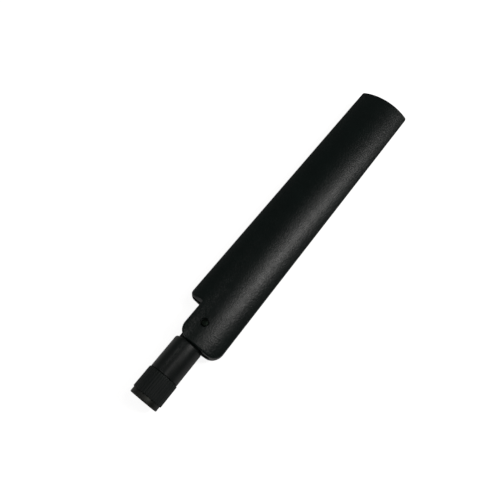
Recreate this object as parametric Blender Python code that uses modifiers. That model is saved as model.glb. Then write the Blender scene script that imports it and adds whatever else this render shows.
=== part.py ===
"""Folding blade antenna with a threaded coaxial connector, built as an assembly of separate pieces, in metres.

Everything is drawn upright: the connector's open end is at the origin, +Z runs along the antenna to its tip, +X
across the blade, and the blade's front face looks towards -Y. The empty `lying_frame` then lays the antenna on its
back: the tip points to world +Y, the front face up, and the grip's lowest rib rests on the ground at Z = 0, under
the middle of the antenna's length.
"""
from math import asin, cos, pi, sin, sqrt

import bmesh
import bpy
from mathutils import Matrix, Vector

GAP = 0.0001  # between pieces that touch in the real antenna
CLEAR = 0.01  # how far a cutter reaches past what it cuts

# Blade: a lens section between two arcs with blunt edges, and deeper at its foot than at its tip
BLADE_BOTTOM = 0.0296
BLADE_TOP = 0.2008
BLADE_HALF_WIDTH = 0.0142
TIP_HALF_DEPTH = 0.00495
FOOT_HALF_DEPTH = 0.00675
TIP_EDGE_HALF_DEPTH = 0.0010
WALL = 0.0015
ARC_RISE = TIP_HALF_DEPTH - TIP_EDGE_HALF_DEPTH
ARC_RADIUS = (BLADE_HALF_WIDTH**2 + ARC_RISE**2) / (2 * ARC_RISE)
ARC_CENTRE = ARC_RADIUS - TIP_HALF_DEPTH  # how far each arc's centre lies behind the middle plane

# Blade seen from the front: left of its tongue it is cut away, so that the base can fold there
TONGUE_LEFT = -0.0070
TONGUE_LEFT_RADIUS = 0.0056
FOOT_RIGHT_RADIUS = 0.0052
NOTCH_TOP = 0.0468
NOTCH_RADIUS = 0.0025
TOP_RADIUS = 0.0009

# Hollow of the blade: a pocket for the knuckle, open at the foot and in the notch, and a closed chamber above it
BULKHEAD_BOTTOM = 0.0496
RIB = 0.0014
STOP_RIB_LEFT = 0.0055
SLOT_RIGHT = 0.0104
SLOT_DEPTH = 0.0016
SLOT_HALF_DEPTH = 0.0023
SLIT_LEFT = -0.0123
SLIT_HALF_DEPTH = 0.0015
POCKET_STEP = 0.0008  # how far below the notch the knuckle's pocket stops being open on the left

# Hinge
PIVOT = 0.0398
KNUCKLE_RADIUS = 0.0052
KNUCKLE_HALF_DEPTH = 0.0032
CABLE_SLOT_HALF_DEPTH = 0.00115
WASHER_THICKNESS = 0.0003
BOSS_FACE = KNUCKLE_HALF_DEPTH + WASHER_THICKNESS + 2 * GAP
BOSS_RADIUS = 0.0030
PIN_RADIUS = 0.00115
PIN_HEAD_RADIUS = 0.0016
PIN_HEAD_HEIGHT = 0.0006
PIN_RECESS_RADIUS = 0.0019
PIN_RECESS_FLOOR = 0.0053

# Base: a barrel that turns on the connector's shank
BARREL_RADIUS = 0.0069
BARREL_BOTTOM = 0.01295
BARREL_TOP = 0.0292
BARREL_EDGE = 0.0008
SHANK_RADIUS = 0.0040
SHANK_TOP = 0.0175
SWIVEL_BORE = SHANK_RADIUS + 0.0003
CLIP_BOTTOM = 0.0152
CLIP_GROOVE = 0.0012
O_RING_BOTTOM = 0.0134
O_RING_GROOVE = 0.0011

# Connector
CONTACT_OUTER = 0.00405
CONTACT_INNER = 0.0033
CONTACT_BOTTOM = 0.0026
BODY_BORE = 0.0030
FLANGE_RADIUS = 0.0052
FLANGE_BOTTOM = 0.0080
FLANGE_TOP = 0.0096
STUB_RADIUS = 0.0017
STUB_TOP = 0.0210
NUT_RING_BOTTOM = 0.01165
NUT_RING_GROOVE = 0.0008

# Coupling nut and its knurled grip
NUT_LIP_RADIUS = 0.0068
NUT_LIP_TOP = 0.0023
NUT_BODY_RADIUS = 0.0061
NUT_BORE = 0.00545
NUT_TOP = 0.0124
GRIP_RADIUS = 0.00725
GRIP_BOTTOM = 0.0024
GRIP_TOP = 0.01265
GRIP_RIBS = 36
RIB_DEPTH = 0.00028

# Cable and circuit board
CABLE_RADIUS = 0.0009
CABLE_CORE_RADIUS = 0.0006
CABLE_END_GAP = 0.0010  # each length of the cable stops this short of the pivot
CABLE_DEPTH = 0.00155  # of the cable's centre on the board, in front of the middle plane
BOARD_HALF_WIDTH = 0.0095
BOARD_HALF_DEPTH = 0.0004
BOARD_BOTTOM = 0.064
BOARD_TOP = 0.192
COPPER_THICKNESS = 0.0001
COPPER_FACE = BOARD_HALF_DEPTH + COPPER_THICKNESS + GAP / 2
FEED = 0.120

ARC_STEPS = 20
ROUND_STEPS = 48
SMALL_STEPS = 24
CORNER_STEPS = 6

UPRIGHT = Matrix.Rotation(pi / 2, 4, "X")  # turns an outline drawn in X and Y into one in X and Z
SIDES = {"front": -1, "rear": 1}

# Colour, roughness and metallic value of each material
LOOKS = {
    "blade_plastic": ((0.016, 0.017, 0.017), 0.5, 0.0),
    "base_plastic": ((0.020, 0.021, 0.021), 0.45, 0.0),
    "grip_plastic": ((0.014, 0.015, 0.015), 0.55, 0.0),
    "board": ((0.03, 0.16, 0.07), 0.4, 0.0),
    "cable_jacket": ((0.012, 0.012, 0.012), 0.38, 0.0),
    "ptfe": ((0.85, 0.85, 0.82), 0.45, 0.0),
    "silicone": ((0.55, 0.10, 0.06), 0.5, 0.0),
    "rubber": ((0.03, 0.03, 0.03), 0.6, 0.0),
    "heat_shrink": ((0.02, 0.02, 0.02), 0.5, 0.0),
    "foam": ((0.10, 0.10, 0.10), 0.9, 0.0),
    "ferrite": ((0.07, 0.07, 0.08), 0.6, 0.0),
    "black_nickel": ((0.060, 0.060, 0.062), 0.35, 1.0),
    "nickel": ((0.60, 0.58, 0.54), 0.25, 1.0),
    "gold": ((0.83, 0.61, 0.28), 0.25, 1.0),
    "copper": ((0.72, 0.38, 0.22), 0.35, 1.0),
    "solder": ((0.55, 0.55, 0.56), 0.35, 1.0),
    "black_steel": ((0.10, 0.10, 0.10), 0.35, 1.0),
    "spring_steel": ((0.45, 0.45, 0.46), 0.3, 1.0),
}

# Pieces that move, by the empty on their joint's axis
TILTING = ("hinge_base", "swivel_clip", "coax_lower")
SWIVELLING = (
    "connector_body",
    "contact_insulator",
    "center_contact",
    "crimp_ferrule",
    "heat_shrink",
    "swivel_o_ring",
    "nut_retaining_ring",
)
SPINNING = ("coupling_nut", "nut_grip", "seal_gasket")


# ---------------------------------------------------------------- scene and helpers


def clear_scene():
    for obj in list(bpy.data.objects):
        bpy.data.objects.remove(obj)


def new_collection(name):
    made = bpy.data.collections.new(name)
    bpy.context.scene.collection.children.link(made)
    return made


def make_materials():
    for name, (colour, roughness, metallic) in LOOKS.items():
        material = bpy.data.materials.new(name)
        material.use_nodes = True
        shader = material.node_tree.nodes["Principled BSDF"]
        shader.inputs["Base Color"].default_value = (*colour, 1)
        shader.inputs["Roughness"].default_value = roughness
        shader.inputs["Metallic"].default_value = metallic


def empty(name, parent=None, location=(0, 0, 0)):
    obj = bpy.data.objects.new(name, None)
    antenna.objects.link(obj)
    obj.parent = parent
    obj.location = location
    return obj


def place(name, data, material=None):
    """A piece of the antenna, or a hidden cutter where no material is given."""
    obj = bpy.data.objects.new(name, data)
    obj.parent = lying_frame
    if material is None:
        cutters.objects.link(obj)
        obj.hide_render = True
        obj.display_type = "WIRE"
    else:
        antenna.objects.link(obj)
        data.materials.append(bpy.data.materials[material])
    return obj


def place_mesh(name, bm, material=None):
    mesh = bpy.data.meshes.new(name)
    bmesh.ops.recalc_face_normals(bm, faces=bm.faces)
    bm.to_mesh(mesh)
    bm.free()
    mesh.shade_smooth()
    mesh.set_sharp_from_angle(angle=pi / 6)
    return place(name, mesh, material)


def boolean(obj, other, operation="DIFFERENCE"):
    modifier = obj.modifiers.new(other.name, "BOOLEAN")
    modifier.operation = operation
    modifier.object = other
    modifier.solver = "EXACT"


def box(name, low, high, material=None):
    low, high = Vector(low), Vector(high)
    bm = bmesh.new()
    size = Matrix.Diagonal((*(high - low), 1))
    bmesh.ops.create_cube(bm, size=1, matrix=Matrix.Translation((low + high) / 2) @ size)
    return place_mesh(name, bm, material)


def rod(name, radius, start, end, material=None, steps=SMALL_STEPS):
    """A cylinder between two points."""
    start, end = Vector(start), Vector(end)
    along = end - start
    turn = along.to_track_quat("Z", "Y").to_matrix().to_4x4()
    bm = bmesh.new()
    bmesh.ops.create_cone(
        bm,
        cap_ends=True,
        segments=steps,
        radius1=radius,
        radius2=radius,
        depth=along.length,
        matrix=Matrix.Translation((start + end) / 2) @ turn,
    )
    return place_mesh(name, bm, material)


def turned(name, profile, material=None, steps=ROUND_STEPS, closed=True):
    """A profile of (radius, height) points, run down its outer side, turned about Z by a Screw modifier."""
    bm = bmesh.new()
    points = [bm.verts.new((radius, 0, height)) for radius, height in profile]
    ends = points[1:] + points[:1] if closed else points[1:]
    for start, end in zip(points, ends):
        bm.edges.new((start, end))
    obj = place_mesh(name, bm, material)
    screw = obj.modifiers.new("turn", "SCREW")
    screw.axis = "Z"
    screw.angle = 2 * pi
    screw.steps = screw.render_steps = steps
    screw.use_merge_vertices = True
    screw.merge_threshold = 0.000001
    return obj


def tube(name, inner, outer, bottom, top, material=None, steps=SMALL_STEPS):
    return turned(name, [(outer, top), (outer, bottom), (inner, bottom), (inner, top)], material, steps)


def prism(name, outline, low, high, turn=None, material=None):
    """A flat outline drawn in X and Y as a filled 2D curve, extruded from low to high along Z, then turned."""
    curve = bpy.data.curves.new(name, "CURVE")
    curve.dimensions = "2D"
    curve.fill_mode = "BOTH"
    curve.extrude = (high - low) / 2
    spline = curve.splines.new("POLY")
    spline.points.add(len(outline) - 1)
    for point, (x, y) in zip(spline.points, outline):
        point.co = (x, y, 0, 1)
    spline.use_cyclic_u = True
    drawn = bpy.data.objects.new(name, curve)
    bpy.context.scene.collection.objects.link(drawn)
    graph = bpy.context.evaluated_depsgraph_get()
    mesh = bpy.data.meshes.new_from_object(drawn.evaluated_get(graph))
    bpy.data.objects.remove(drawn)
    bpy.data.curves.remove(curve)
    bm = bmesh.new()
    bm.from_mesh(mesh)
    bpy.data.meshes.remove(mesh)
    bmesh.ops.remove_doubles(bm, verts=bm.verts, dist=GAP / 100)
    bmesh.ops.translate(bm, verts=bm.verts, vec=(0, 0, (low + high) / 2))
    bm.transform(turn or Matrix.Identity(4))
    return place_mesh(name, bm, material)


def corner(x, z, radius, start, end):
    """Points of a round corner about (x, z), between two angles in quarter turns."""
    angles = [(start + (end - start) * i / CORNER_STEPS) * pi / 2 for i in range(CORNER_STEPS + 1)]
    return [(x + radius * cos(a), z + radius * sin(a)) for a in angles]


# ---------------------------------------------------------------- blade shells


def depth_scale(z):
    """How much deeper the blade's section is at a height than at its tip."""
    foot_scale = FOOT_HALF_DEPTH / TIP_HALF_DEPTH
    return 1 + (foot_scale - 1) * (BLADE_TOP - z) / (BLADE_TOP - BLADE_BOTTOM)


def half_depth(x, z, inset=0.0):
    """Depth of the blade's face in front of its middle plane, or of a surface that much further in."""
    return (sqrt((ARC_RADIUS - inset) ** 2 - x**2) - ARC_CENTRE) * depth_scale(z)


def lens(inset, left=None, right=None):
    """The blade's section at its tip, moved in by inset, and cut off at x = left and x = right where given."""
    radius = ARC_RADIUS - inset
    reach = BLADE_HALF_WIDTH - inset
    if inset > TIP_EDGE_HALF_DEPTH:  # the two inner arcs meet before the blunt edge
        reach = min(reach, sqrt(radius**2 - ARC_CENTRE**2) - GAP)
    low = -reach if left is None else left
    high = reach if right is None else right
    first, last = asin(low / radius), asin(high / radius)
    angles = [first + (last - first) * i / ARC_STEPS for i in range(ARC_STEPS + 1)]
    front = [(radius * sin(a), ARC_CENTRE - radius * cos(a)) for a in angles]
    return front + [(x, -y) for x, y in reversed(front)]


def along_blade(name, section, bottom, top, material=None):
    """A length of the blade with that section, deepened towards the foot."""
    obj = prism(name, section, bottom, top, material=material)
    for vertex in obj.data.vertices:
        vertex.co.y *= depth_scale(vertex.co.z)
    return obj


def blade_outline():
    """The blade seen from the front, in X and Z, counter-clockwise from the tongue's foot."""
    half = BLADE_HALF_WIDTH
    left, right = TONGUE_LEFT_RADIUS, FOOT_RIGHT_RADIUS
    return [
        *corner(TONGUE_LEFT + left, BLADE_BOTTOM + left, left, 2, 3),
        *corner(half - right, BLADE_BOTTOM + right, right, 3, 4),
        *corner(half - TOP_RADIUS, BLADE_TOP - TOP_RADIUS, TOP_RADIUS, 0, 1),
        *corner(-half + TOP_RADIUS, BLADE_TOP - TOP_RADIUS, TOP_RADIUS, 1, 2),
        *corner(-half + NOTCH_RADIUS, NOTCH_TOP + NOTCH_RADIUS, NOTCH_RADIUS, 2, 3),
        (TONGUE_LEFT, NOTCH_TOP),
    ]


def make_shells():
    """Front and rear halves of the blade, split at its middle plane, each with its ribs and hinge boss."""
    plan = prism("blade_plan", blade_outline(), -CLEAR, CLEAR, turn=UPRIGHT)
    foot = BLADE_BOTTOM - CLEAR
    slot_top = BLADE_BOTTOM + SLOT_DEPTH
    pocket_top = lens(WALL + GAP, TONGUE_LEFT + WALL, STOP_RIB_LEFT - GAP)
    hollows = (
        plan,
        along_blade("chamber", lens(WALL), BULKHEAD_BOTTOM + RIB, BLADE_TOP - WALL),
        along_blade("knuckle_pocket", lens(WALL, right=STOP_RIB_LEFT), foot, NOTCH_TOP - POCKET_STEP),
        along_blade("pocket_top", pocket_top, NOTCH_TOP - 2 * POCKET_STEP, BULKHEAD_BOTTOM),
        box("notch_slit", (SLIT_LEFT, -SLIT_HALF_DEPTH, PIVOT), (0, SLIT_HALF_DEPTH, BULKHEAD_BOTTOM - GAP)),
        box("foot_slot", (0, -SLOT_HALF_DEPTH, foot), (SLOT_RIGHT, SLOT_HALF_DEPTH, slot_top)),
        along_blade("foot_pocket", lens(WALL, left=STOP_RIB_LEFT + RIB), slot_top + RIB, BULKHEAD_BOTTOM),
        rod("cable_way", CABLE_RADIUS + 3 * GAP, (0, 0, BULKHEAD_BOTTOM - RIB), (0, 0, BULKHEAD_BOTTOM + 2 * RIB)),
    )
    for label, side in SIDES.items():
        shell = along_blade(f"{label}_shell", lens(0), foot, BLADE_TOP + CLEAR, "blade_plastic")
        for hollow in hollows:
            boolean(shell, hollow, "INTERSECT" if hollow is plan else "DIFFERENCE")
        reach = 2 * BLADE_HALF_WIDTH
        other_half = sorted((side * GAP, -side * CLEAR))
        split = box(
            f"{label}_split",
            (-reach, other_half[0], foot),
            (reach, other_half[1], BLADE_TOP + CLEAR),
        )
        boolean(shell, split)
        inside_wall = side * (half_depth(0, PIVOT, WALL) + WALL / 2)
        boss = rod(f"{label}_boss", BOSS_RADIUS, (0, side * BOSS_FACE, PIVOT), (0, inside_wall, PIVOT))
        boolean(shell, boss, "UNION")
        hole = rod(f"{label}_pin_hole", PIN_RADIUS + GAP, (0, side * GAP, PIVOT), (0, side * CLEAR, PIVOT))
        boolean(shell, hole)
        recess_floor = (0, side * PIN_RECESS_FLOOR, PIVOT)
        recess = rod(f"{label}_pin_recess", PIN_RECESS_RADIUS, recess_floor, (0, side * CLEAR, PIVOT))
        boolean(shell, recess)


# ---------------------------------------------------------------- hinge


def face_outwards(obj, side):
    """Lays a piece turned about Z on the pivot, its top facing out of the blade's front or rear."""
    obj.location = (0, 0, PIVOT)
    obj.rotation_euler = (-side * pi / 2, 0, 0)


def make_pivot_pins():
    """Two headed stub pins, one in each shell, that leave the middle of the hinge free for the cable."""
    head_bottom = PIN_RECESS_FLOOR + GAP
    head_top = head_bottom + PIN_HEAD_HEIGHT
    dome = 0.00015
    inner_end = CABLE_SLOT_HALF_DEPTH + dome
    profile = [
        (0, head_top),
        (PIN_HEAD_RADIUS - 2 * dome, head_top),
        (PIN_HEAD_RADIUS, head_top - dome),
        (PIN_HEAD_RADIUS, head_bottom),
        (PIN_RADIUS, head_bottom),
        (PIN_RADIUS, inner_end + dome),
        (PIN_RADIUS - dome, inner_end),
        (0, inner_end),
    ]
    for label, side in SIDES.items():
        pin = turned(f"pivot_pin_{label}", profile, "black_steel", SMALL_STEPS, closed=False)
        face_outwards(pin, side)


def make_friction_washers():
    bottom = KNUCKLE_HALF_DEPTH + GAP
    for label, side in SIDES.items():
        name = f"friction_washer_{label}"
        washer = tube(name, PIN_RADIUS + GAP, BOSS_RADIUS, bottom, bottom + WASHER_THICKNESS, "spring_steel")
        face_outwards(washer, side)


def make_hinge_base():
    """The barrel that turns on the connector, with a flat slotted knuckle on top of it."""
    clip_groove_radius = SHANK_RADIUS + 0.0012
    chamber_radius = 0.0034
    chamber_top = 0.0244
    cable_bore = CABLE_RADIUS + 0.0003
    foot_chamfer = 0.0002
    shoulder = [(BARREL_RADIUS - BARREL_EDGE) + BARREL_EDGE * sin(i * pi / 8) for i in range(5)]
    shoulder_heights = [(BARREL_TOP - BARREL_EDGE) + BARREL_EDGE * cos(i * pi / 8) for i in range(5)]
    profile = [
        (cable_bore, BARREL_TOP),
        *zip(shoulder, shoulder_heights),
        (BARREL_RADIUS, BARREL_BOTTOM + foot_chamfer),
        (BARREL_RADIUS - foot_chamfer, BARREL_BOTTOM),
        (SWIVEL_BORE, BARREL_BOTTOM),
        (SWIVEL_BORE, CLIP_BOTTOM),
        (clip_groove_radius, CLIP_BOTTOM),
        (clip_groove_radius, CLIP_BOTTOM + CLIP_GROOVE),
        (SWIVEL_BORE, CLIP_BOTTOM + CLIP_GROOVE),
        (SWIVEL_BORE, SHANK_TOP + GAP),
        (chamber_radius, SHANK_TOP + GAP),
        (chamber_radius, chamber_top),
        (cable_bore, chamber_top),
    ]
    base = turned("hinge_base", profile, "base_plastic")
    root = BARREL_TOP - 0.002
    arc = [i * pi / 20 for i in range(21)]
    knuckle_outline = [
        (-KNUCKLE_RADIUS, root),
        (KNUCKLE_RADIUS, root),
        *((KNUCKLE_RADIUS * cos(a), PIVOT + KNUCKLE_RADIUS * sin(a)) for a in arc),
    ]
    knuckle = prism("knuckle", knuckle_outline, -KNUCKLE_HALF_DEPTH, KNUCKLE_HALF_DEPTH, turn=UPRIGHT)
    boolean(base, knuckle, "UNION")
    slot = CABLE_SLOT_HALF_DEPTH
    slot_bottom = BARREL_TOP + 0.0016
    slot_box = box("cable_slot", (-CLEAR, -slot, slot_bottom), (cable_bore, slot, PIVOT + CLEAR))
    boolean(base, slot_box)
    neck_bore = rod("neck_bore", cable_bore - GAP, (0, 0, chamber_top - GAP), (0, 0, slot_bottom + GAP))
    boolean(base, neck_bore)
    pin_hole = rod("knuckle_pin_hole", PIN_RADIUS + GAP, (0, -CLEAR, PIVOT), (0, CLEAR, PIVOT))
    boolean(base, pin_hole)


def make_swivel_parts():
    """The open clip that keeps the base on the shank, and the ring that seals and damps the swivel."""
    clip_inner, clip_outer = SHANK_RADIUS - 0.0005, SHANK_RADIUS + 0.0009
    bottom, top = CLIP_BOTTOM + 2 * GAP, CLIP_BOTTOM + CLIP_GROOVE - 2 * GAP
    clip = tube("swivel_clip", clip_inner, clip_outer, bottom, top, "spring_steel")
    half_opening = clip_inner / 3
    opening = box("clip_opening", (-half_opening, 0, bottom - CLEAR), (half_opening, CLEAR, top + CLEAR))
    boolean(clip, opening)
    ring_radius, ring_wire, sides = 0.00372, 0.00047, 10
    middle = O_RING_BOTTOM + O_RING_GROOVE / 2
    angles = [-i * 2 * pi / sides for i in range(sides)]
    circle = [(ring_radius + ring_wire * cos(a), middle + ring_wire * sin(a)) for a in angles]
    turned("swivel_o_ring", circle, "rubber", SMALL_STEPS)


# ---------------------------------------------------------------- connector


def groove(bottom, height, depth):
    """Profile points of a groove in the shank, run downwards."""
    top, floor = bottom + height, SHANK_RADIUS - depth
    return [(SHANK_RADIUS, top), (floor, top), (floor, bottom), (SHANK_RADIUS, bottom)]


def make_connector_body():
    mouth_chamfer = 0.0003
    insulator_step = 0.0070
    bore_top = 0.0166
    stub_bore = CABLE_CORE_RADIUS + 0.00015
    profile = [
        (STUB_RADIUS, STUB_TOP),
        (STUB_RADIUS, SHANK_TOP),
        (SHANK_RADIUS, SHANK_TOP),
        *groove(CLIP_BOTTOM, CLIP_GROOVE, 0.0007),
        *groove(O_RING_BOTTOM, O_RING_GROOVE, 0.00085),
        *groove(NUT_RING_BOTTOM, NUT_RING_GROOVE, 0.0005),
        (SHANK_RADIUS, FLANGE_TOP),
        (FLANGE_RADIUS, FLANGE_TOP),
        (FLANGE_RADIUS, FLANGE_BOTTOM),
        (CONTACT_OUTER, FLANGE_BOTTOM),
        (CONTACT_OUTER, CONTACT_BOTTOM + mouth_chamfer),
        (CONTACT_OUTER - mouth_chamfer, CONTACT_BOTTOM),
        (CONTACT_INNER, CONTACT_BOTTOM),
        (CONTACT_INNER, insulator_step),
        (BODY_BORE, insulator_step),
        (BODY_BORE, bore_top),
        (stub_bore, bore_top),
        (stub_bore, STUB_TOP),
    ]
    turned("connector_body", profile, "nickel")
    make_contacts(insulator_step + GAP, bore_top - GAP)


def make_contacts(bottom, top):
    """The plastic core of the connector, with a narrower nose, and the pin through it."""
    nose_bottom, nose_radius = 0.0046, 0.0019
    pin_bottom, pin_radius, tail_radius = 0.00315, 0.00067, 0.00055
    pin_bore = pin_radius + GAP
    outer = BODY_BORE - GAP
    core = [
        (outer, top),
        (outer, bottom),
        (nose_radius, bottom),
        (nose_radius, nose_bottom),
        (pin_bore, nose_bottom),
        (pin_bore, top),
    ]
    turned("contact_insulator", core, "ptfe", SMALL_STEPS)
    pin = [
        (0, top),
        (tail_radius, top),
        (tail_radius, top - 0.0045),
        (pin_radius, top - 0.0045),
        (pin_radius, pin_bottom + 0.00045),
        (pin_radius * 0.7, pin_bottom + 0.00015),
        (pin_radius * 0.3, pin_bottom),
        (0, pin_bottom),
    ]
    turned("center_contact", pin, "gold", SMALL_STEPS, closed=False)


def make_cable_fixings():
    """What holds the cable on the connector's stub: a crimped ferrule under a heat-shrunk sleeve."""
    ferrule_inner, ferrule_outer, ferrule_top = STUB_RADIUS + 0.00015, 0.00235, 0.0226
    tube("crimp_ferrule", ferrule_inner, ferrule_outer, SHANK_TOP + GAP, ferrule_top, "nickel")
    thickness = 0.0003
    inner = ferrule_outer + GAP
    throat = CABLE_RADIUS + GAP
    shoulder = ferrule_top + GAP
    top = shoulder + 0.0015
    profile = [
        (throat + thickness, top),
        (throat + thickness, shoulder + 2 * thickness),
        (inner + thickness, shoulder + thickness),
        (inner + thickness, SHANK_TOP + 0.0007),
        (inner, SHANK_TOP + 0.0007),
        (inner, shoulder),
        (throat, shoulder),
        (throat, top),
    ]
    turned("heat_shrink", profile, "heat_shrink", SMALL_STEPS)


def make_coupling_nut():
    """The nut turns freely between the body's flange and the retaining ring. Its grip is a knurled sleeve."""
    chamfer = 0.00025
    shoulder_bottom, shoulder_top = FLANGE_TOP + 0.00015, NUT_RING_BOTTOM - GAP
    shoulder_radius = SHANK_RADIUS + 0.0002
    ring_recess = 0.0051
    profile = [
        (NUT_BODY_RADIUS, NUT_TOP),
        (NUT_BODY_RADIUS, NUT_LIP_TOP),
        (NUT_LIP_RADIUS, NUT_LIP_TOP),
        (NUT_LIP_RADIUS, chamfer),
        (NUT_LIP_RADIUS - chamfer, 0),
        (NUT_BORE + chamfer, 0),
        (NUT_BORE, chamfer),
        (NUT_BORE, shoulder_bottom),
        (shoulder_radius, shoulder_bottom),
        (shoulder_radius, shoulder_top),
        (ring_recess, shoulder_top),
        (ring_recess, NUT_TOP),
    ]
    turned("coupling_nut", profile, "black_nickel")
    ring_inner, ring_outer = SHANK_RADIUS - 0.0004, ring_recess - 2 * GAP
    ring_top = NUT_RING_BOTTOM + NUT_RING_GROOVE - GAP
    tube("nut_retaining_ring", ring_inner, ring_outer, NUT_RING_BOTTOM + GAP / 2, ring_top, "spring_steel")
    gasket_inner, gasket_outer, gasket_height = CONTACT_OUTER + GAP, 0.0053, 0.0008
    gasket_bottom = FLANGE_BOTTOM - GAP - gasket_height
    tube("seal_gasket", gasket_inner, gasket_outer, gasket_bottom, FLANGE_BOTTOM - GAP, "silicone")
    grip = prism("nut_grip", knurled_outline(), GRIP_BOTTOM, GRIP_TOP, material="grip_plastic")
    bore = rod("grip_bore", NUT_BODY_RADIUS + GAP, (0, 0, -CLEAR), (0, 0, GRIP_TOP + CLEAR), steps=ROUND_STEPS)
    boolean(grip, bore)


def knurled_outline():
    """A ring of narrow ribs and grooves, with a rib at the very bottom for the antenna to lie on."""
    floor = GRIP_RADIUS - RIB_DEPTH
    one_rib = ((-0.2, GRIP_RADIUS), (0, GRIP_RADIUS), (0.2, GRIP_RADIUS), (0.35, floor), (0.65, floor))
    outline = []
    for rib in range(GRIP_RIBS):
        for share, radius in one_rib:
            angle = (rib + share) * 2 * pi / GRIP_RIBS
            outline.append((radius * cos(angle), radius * sin(angle)))
    return outline


# ---------------------------------------------------------------- cable and circuit board


def make_coax():
    """The cable in two lengths that meet at the pivot: one follows the base, the other the blade."""
    jacket_bottom, core_bottom = 0.0214, 0.0167
    profile = [
        (0, PIVOT - CABLE_END_GAP),
        (CABLE_RADIUS, PIVOT - CABLE_END_GAP),
        (CABLE_RADIUS, jacket_bottom),
        (CABLE_CORE_RADIUS, jacket_bottom),
        (CABLE_CORE_RADIUS, core_bottom),
        (0, core_bottom),
    ]
    turned("coax_lower", profile, "cable_jacket", SMALL_STEPS, closed=False)
    curve = bpy.data.curves.new("coax_upper", "CURVE")
    curve.dimensions = "3D"
    curve.bevel_depth = CABLE_RADIUS
    curve.bevel_resolution = 2
    curve.use_fill_caps = True
    spline = curve.splines.new("POLY")
    route = cable_route()
    spline.points.add(len(route) - 1)
    for point, position in zip(spline.points, route):
        point.co = (*position, 1)
    place("coax_upper", curve, "cable_jacket")


def cable_route():
    """Straight up from the pivot through the choke, then a smooth rise onto the front of the board, up to the feed."""
    rise_start, rise_end = 0.0558, 0.0630
    steps = 8
    route = [(0, 0, PIVOT + CABLE_END_GAP)]
    for i in range(steps + 1):
        share = i / steps
        depth = CABLE_DEPTH * (3 * share**2 - 2 * share**3)
        route.append((0, -depth, rise_start + (rise_end - rise_start) * share))
    route.append((0, -CABLE_DEPTH, FEED - 0.0032))
    return route


def make_board():
    """A board with a dipole etched on its front: the upper arm is a plate, the lower one a pair of legs."""
    low = (-BOARD_HALF_WIDTH, -BOARD_HALF_DEPTH, BOARD_BOTTOM)
    high = (BOARD_HALF_WIDTH, BOARD_HALF_DEPTH, BOARD_TOP)
    box("antenna_board", low, high, "board")
    margin = 0.004
    arm, foot, leg = 0.0075, 0.0016, 0.0030
    half_break, shoulder, crotch = 0.0015, 0.0080, 0.0120
    top, bottom = BOARD_TOP - margin, BOARD_BOTTOM + margin
    upper = [
        (-foot, FEED + half_break),
        (foot, FEED + half_break),
        (arm, FEED + shoulder),
        (arm, top),
        (-arm, top),
        (-arm, FEED + shoulder),
    ]
    lower_left = [
        (-foot, FEED - half_break),
        (-arm, FEED - shoulder),
        (-arm, bottom),
        (-leg, bottom),
        (-leg, FEED - crotch),
    ]
    lower = lower_left + [(-x, z) for x, z in reversed(lower_left)]
    back = COPPER_FACE - COPPER_THICKNESS
    for name, outline in (("upper_radiator", upper), ("lower_radiator", lower)):
        prism(name, outline, back, COPPER_FACE, turn=UPRIGHT, material="copper")


def make_feed():
    """The cable's braid soldered to the lower radiator, and its centre wire bridged over to the upper one."""
    face = -COPPER_FACE - GAP
    collar = tube("braid_solder", CABLE_RADIUS + GAP, 0.0015, FEED - 0.0075, FEED - 0.0040, "solder")
    collar.location = (0, -CABLE_DEPTH, 0)
    board_side = box("solder_flat", (-CLEAR, face, FEED - CLEAR), (CLEAR, CLEAR, FEED + CLEAR))
    boolean(collar, board_side)
    wire_radius = 0.00025
    wire_end = Vector((0, -0.0010, FEED + 0.0030))
    rod("coax_center_wire", wire_radius, (0, -CABLE_DEPTH, FEED - 0.0030), wire_end, "copper", SMALL_STEPS // 2)
    bead_size = Matrix.Diagonal((0.0012, 0.0008, 0.0013, 1))
    bead_place = Matrix.Translation((0, face, wire_end.z + 0.0014))
    bm = bmesh.new()
    bmesh.ops.create_uvsphere(bm, u_segments=16, v_segments=8, radius=1, matrix=bead_place @ bead_size)
    bead = place_mesh("core_solder", bm, "solder")
    boolean(bead, board_side)


def make_blade_fillings():
    """The choke on the cable, and the foam pads between the board and the blade's walls."""
    choke_bottom = BULKHEAD_BOTTOM + RIB + 0.0003
    tube("cable_choke", CABLE_RADIUS + 0.00015, 0.0023, choke_bottom, choke_bottom + 0.005, "ferrite")
    half_width, height = 0.004, 0.010
    cable_face = CABLE_DEPTH + CABLE_RADIUS
    for label, bottom, in_front in (("lower", 0.070, cable_face), ("upper", 0.173, COPPER_FACE)):
        wall = half_depth(half_width, bottom + height, WALL) - GAP
        front_low, front_high = (-half_width, -wall, bottom), (half_width, -in_front - GAP, bottom + height)
        box(f"foam_pad_front_{label}", front_low, front_high, "foam")
        rear_low = (-half_width, BOARD_HALF_DEPTH + GAP, bottom)
        box(f"foam_pad_rear_{label}", rear_low, (half_width, wall, bottom + height), "foam")


# ---------------------------------------------------------------- moving pieces


def hang_on_axes():
    """Parents each moving piece to an empty on its joint's axis, and leaves it where it is."""
    tilt_axis = empty("tilt_axis", lying_frame, (0, 0, PIVOT))
    swivel_axis = empty("swivel_axis", tilt_axis, (0, 0, -PIVOT))
    nut_axis = empty("nut_axis", swivel_axis)
    for axis, height, names in ((tilt_axis, PIVOT, TILTING), (swivel_axis, 0, SWIVELLING), (nut_axis, 0, SPINNING)):
        for name in names:
            piece = bpy.data.objects[name]
            piece.parent = axis
            piece.location.z -= height


clear_scene()
antenna = new_collection("blade_antenna")
cutters = new_collection("cutters")
make_materials()
lying_frame = empty("lying_frame", location=(0, -BLADE_TOP / 2, GRIP_RADIUS))
lying_frame.rotation_euler = (-pi / 2, 0, 0)
make_shells()
make_pivot_pins()
make_friction_washers()
make_hinge_base()
make_swivel_parts()
make_connector_body()
make_cable_fixings()
make_coupling_nut()
make_coax()
make_board()
make_feed()
make_blade_fillings()
hang_on_axes()
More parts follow.
